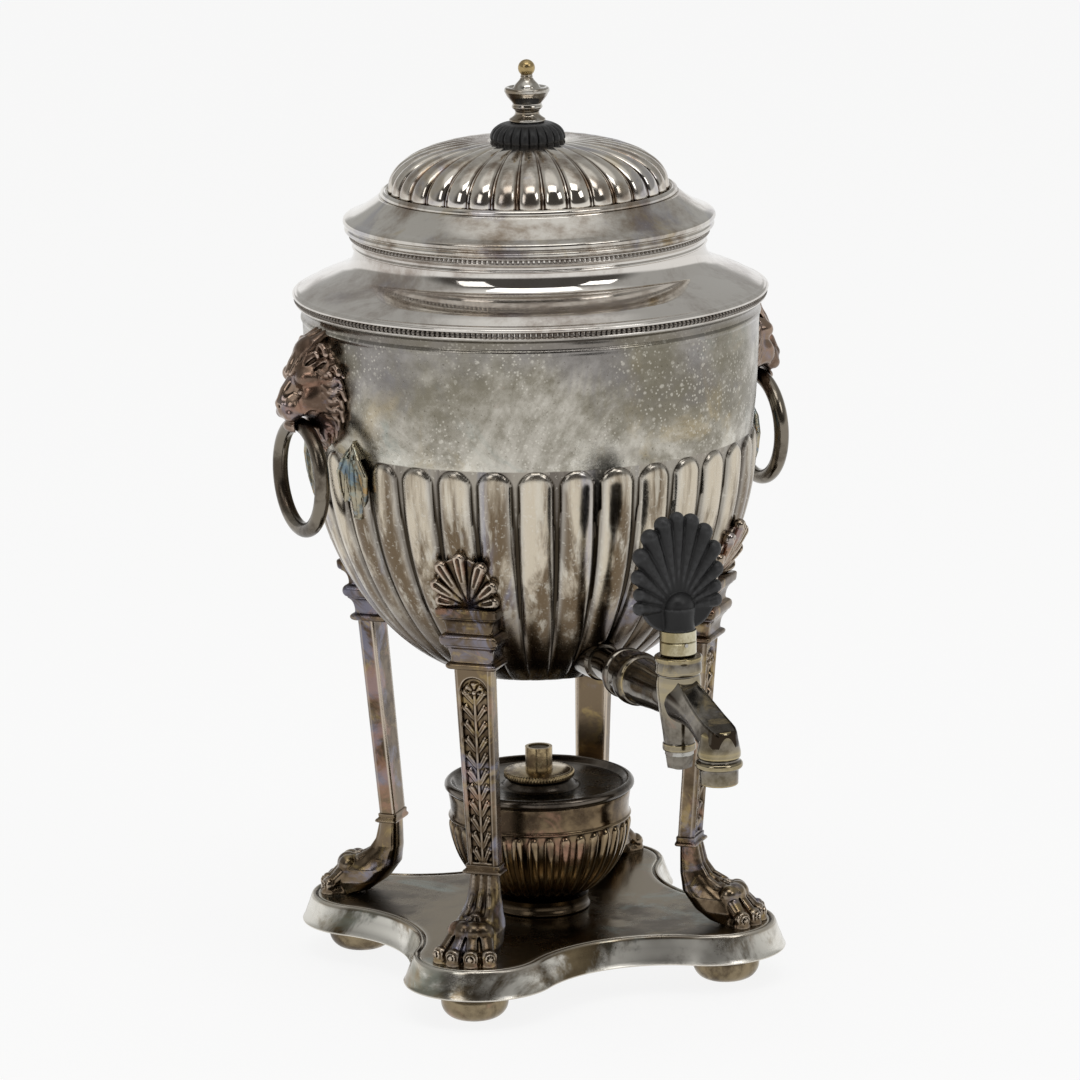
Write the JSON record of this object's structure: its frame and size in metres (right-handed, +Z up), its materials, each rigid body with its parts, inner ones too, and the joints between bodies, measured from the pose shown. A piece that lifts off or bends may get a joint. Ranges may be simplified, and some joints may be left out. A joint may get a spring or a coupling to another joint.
{
  "type": "hot water urn",
  "caption": "Antique silver-plated hot water urn with a lobed vase body, lion-mask ring handles, tap with shell key, domed lid and spirit lamp on a footed stand.",
  "frame": {"origin": "on the urn's own axis at table level, where the feet stand", "axes": "+Z up along the urn's axis; the tap points along -Y; the ring handles hang on the +X and -X sides"},
  "size_m": [0.2396, 0.2873, 0.4],
  "materials": {
    "plate_silver": "tarnished silver plate",
    "foot_bronze": "worn bronze",
    "leg_bronze": "cast, bronze-coloured, worn",
    "steel": "plain",
    "bowl_silver": "tarnished silver plate",
    "neck_silver": "polished silver plate",
    "lid_silver": "polished silver plate",
    "black": "blackened wood or horn, matt",
    "finial_bronze": "worn",
    "mask_bronze": "cast, bronze-coloured, worn",
    "ring_bronze": "dark bronze",
    "tap_metal": "tarnished",
    "ferrule_metal": "pale silver",
    "lamp_metal": "dark brown tarnish",
    "burner_brass": "brass",
    "wick_cotton": "cotton, scorched"
  },
  "bodies": {
    "stand_and_bowl": {"base_plate": "plate_silver", "foot_front_left": "foot_bronze", "foot_front_right": "foot_bronze", "foot_back_right": "foot_bronze", "foot_back_left": "foot_bronze", "leg_studs": "steel", "leg_front_left": "leg_bronze", "leg_front_right": "leg_bronze", "leg_back_right": "leg_bronze", "leg_back_left": "leg_bronze", "leg_shell_front_left": "leg_bronze", "leg_shell_front_right": "leg_bronze", "leg_shell_back_right": "leg_bronze", "leg_shell_back_left": "leg_bronze", "body_bowl": "bowl_silver", "rim_band": "bowl_silver", "shoulder": "neck_silver", "mouth_band": "neck_silver", "lion_mask_right": "mask_bronze", "lion_mask_left": "mask_bronze", "tap_flange": "tap_metal", "tap_body": "tap_metal"},
    "lid": {"lid_cover": "lid_silver", "lid_bezel": "lid_silver", "lid_collar": "lid_silver", "lid_dome": "lid_silver", "lid_knob": "black", "finial": "finial_bronze", "finial_ball": "finial_bronze", "lid_washer": "steel", "lid_nut": "steel", "lid_bolt": "steel"},
    "right_handle": {"ring_right": "ring_bronze"},
    "left_handle": {"ring_left": "ring_bronze"},
    "tap_key": {"tap_plug": "ferrule_metal", "plug_ferrule": "ferrule_metal", "handle_pin": "steel", "tap_handle": "black", "plug_washer": "tap_metal", "plug_nut": "tap_metal"},
    "lamp": {"lamp_bowl": "lamp_metal", "lamp_top": "lamp_metal"},
    "burner": {"burner_disc": "lamp_metal", "wick_tube": "burner_brass", "wick": "wick_cotton"}
  },
  "joints": [
    {"name": "lid_lift", "type": "slide", "parent": "stand_and_bowl", "child": "lid", "axis": [0, 0, 1], "range_m": [0, 0.05]},
    {"name": "right_ring_swing", "type": "hinge", "parent": "stand_and_bowl", "child": "right_handle", "pos_m": [0.109, 0, 0.2525], "axis": [0, -1, 0], "range_deg": [-10, 80]},
    {"name": "left_ring_swing", "type": "hinge", "parent": "stand_and_bowl", "child": "left_handle", "pos_m": [-0.109, 0, 0.2525], "axis": [0, 1, 0], "range_deg": [-10, 80]},
    {"name": "tap_turn", "type": "hinge", "parent": "stand_and_bowl", "child": "tap_key", "pos_m": [0, -0.1385, 0.15], "axis": [0, 0, 1], "range_deg": [0, 90]},
    {"name": "lamp_slide", "type": "slide", "parent": "stand_and_bowl", "child": "lamp", "axis": [0, -1, 0], "range_m": [0, 0.12]},
    {"name": "burner_lift", "type": "slide", "parent": "lamp", "child": "burner", "axis": [0, 0, 1], "range_m": [0, 0.03]}
  ]
}
